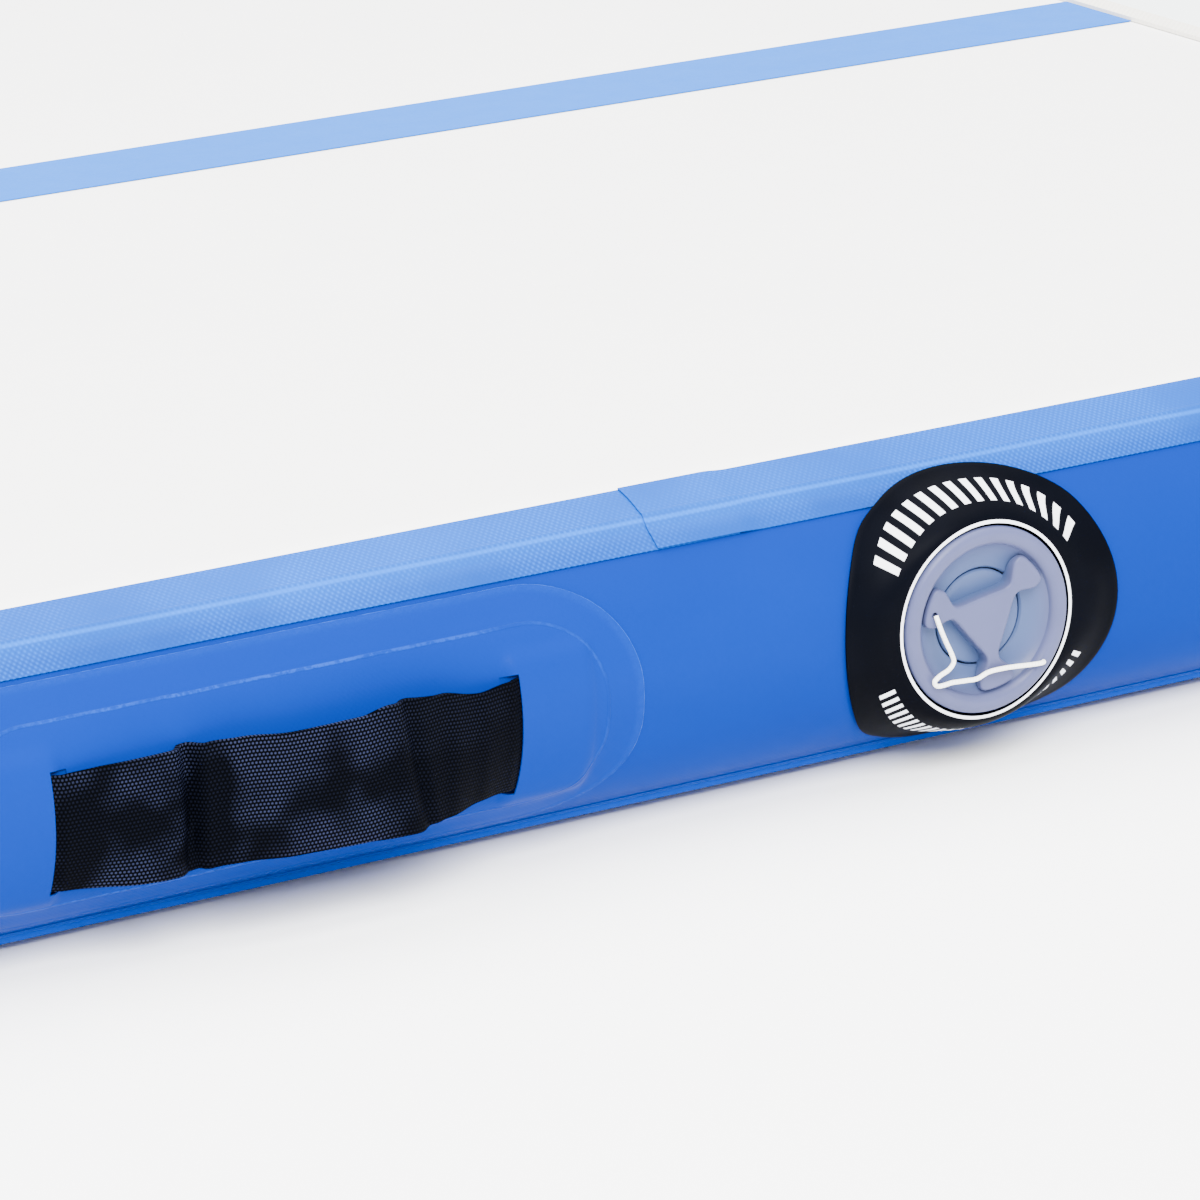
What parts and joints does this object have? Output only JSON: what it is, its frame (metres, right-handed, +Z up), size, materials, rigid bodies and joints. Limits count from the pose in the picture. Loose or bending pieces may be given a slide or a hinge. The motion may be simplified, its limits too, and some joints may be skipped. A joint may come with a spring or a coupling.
{
  "type": "air track mat",
  "caption": "Inflated tumbling mat with a flat deck, round side walls, seam tapes, webbing carry handles, a marked centre line and a screw-cap air valve.",
  "frame": {"origin": "under the middle of the mat, on the surface it lies on", "axes": "+X along the mat, +Y across it from the valve side to the far side, +Z up"},
  "size_m": [3, 1.0242, 0.1019],
  "materials": {
    "deck": "satin coated fabric, faintly pebbled",
    "base": "matt coated fabric",
    "cloth": "plain woven",
    "yarn": "twisted yarn",
    "wall": "smooth coated fabric, semi-gloss",
    "patch": "smooth, with a faint embossed outline",
    "tape": "matt, the woven scrim shows through",
    "line": "printed, satin",
    "trim": "cream edge strip",
    "panel": "satin foam-backed panel",
    "webbing": "ribbed woven webbing",
    "rubber": "matt black",
    "valve": "satin moulded grey-blue",
    "steel": "plain spring wire",
    "cord": "thin translucent cord"
  },
  "bodies": {
    "mat": {"deck_sheet": "deck", "base_sheet": "base", "upper_cloth": "cloth", "lower_cloth": "cloth", "drop_stitch_row_1": "yarn", "drop_stitch_row_2": "yarn", "drop_stitch_row_3": "yarn", "drop_stitch_row_4": "yarn", "drop_stitch_row_5": "yarn", "drop_stitch_row_6": "yarn", "front_wall_left": "wall", "front_wall_valve": "wall", "front_wall_right": "wall", "back_wall": "wall", "right_wall": "wall", "left_wall": "wall", "joint_tape_front_left": "wall", "joint_tape_front_right": "wall", "joint_tape_back_left": "wall", "joint_tape_back_right": "wall", "top_seam_tape": "tape", "bottom_seam_tape": "wall", "centre_line": "line", "end_trim_right": "trim", "end_trim_left": "trim", "end_panel_right": "panel", "end_panel_left": "panel", "handle_front_left_backing": "wall", "handle_front_left_patch": "patch", "handle_front_left_strap": "webbing", "handle_front_right_backing": "wall", "handle_front_right_patch": "patch", "handle_front_right_strap": "webbing", "handle_back_left_backing": "wall", "handle_back_left_patch": "patch", "handle_back_left_strap": "webbing", "handle_back_right_backing": "wall", "handle_back_right_patch": "patch", "handle_back_right_strap": "webbing", "valve_patch": "rubber", "valve_housing": "valve", "flange_gasket": "rubber", "valve_nut": "valve", "stem_guide": "valve", "valve_spring": "steel", "cap_tether": "cord"},
    "cap": {"valve_cap": "valve"},
    "cap_seal": {"cap_o_ring": "rubber"},
    "poppet": {"valve_poppet": "valve"},
    "poppet_seal": {"poppet_seal": "rubber"}
  },
  "joints": [
    {"name": "cap_pull", "type": "slide", "parent": "mat", "child": "cap_seal", "axis": [0, -1, 0], "range_m": [0, 0.03], "deforming": ["cap_tether"]},
    {"name": "cap_turn", "type": "hinge", "parent": "cap_seal", "child": "cap", "pos_m": [0.6985, -0.5, 0.05], "axis": [0, -1, 0], "range_deg": [0, 90]},
    {"name": "poppet_push", "type": "slide", "parent": "mat", "child": "poppet_seal", "axis": [0, 1, 0], "range_m": [0, 0.004], "stiffness_N_per_m": 600, "springref_m": -0.008, "deforming": ["valve_spring"]},
    {"name": "poppet_turn", "type": "hinge", "parent": "poppet_seal", "child": "poppet", "pos_m": [0.6985, -0.47, 0.05], "axis": [0, 1, 0], "range_deg": [0, 90]}
  ]
}
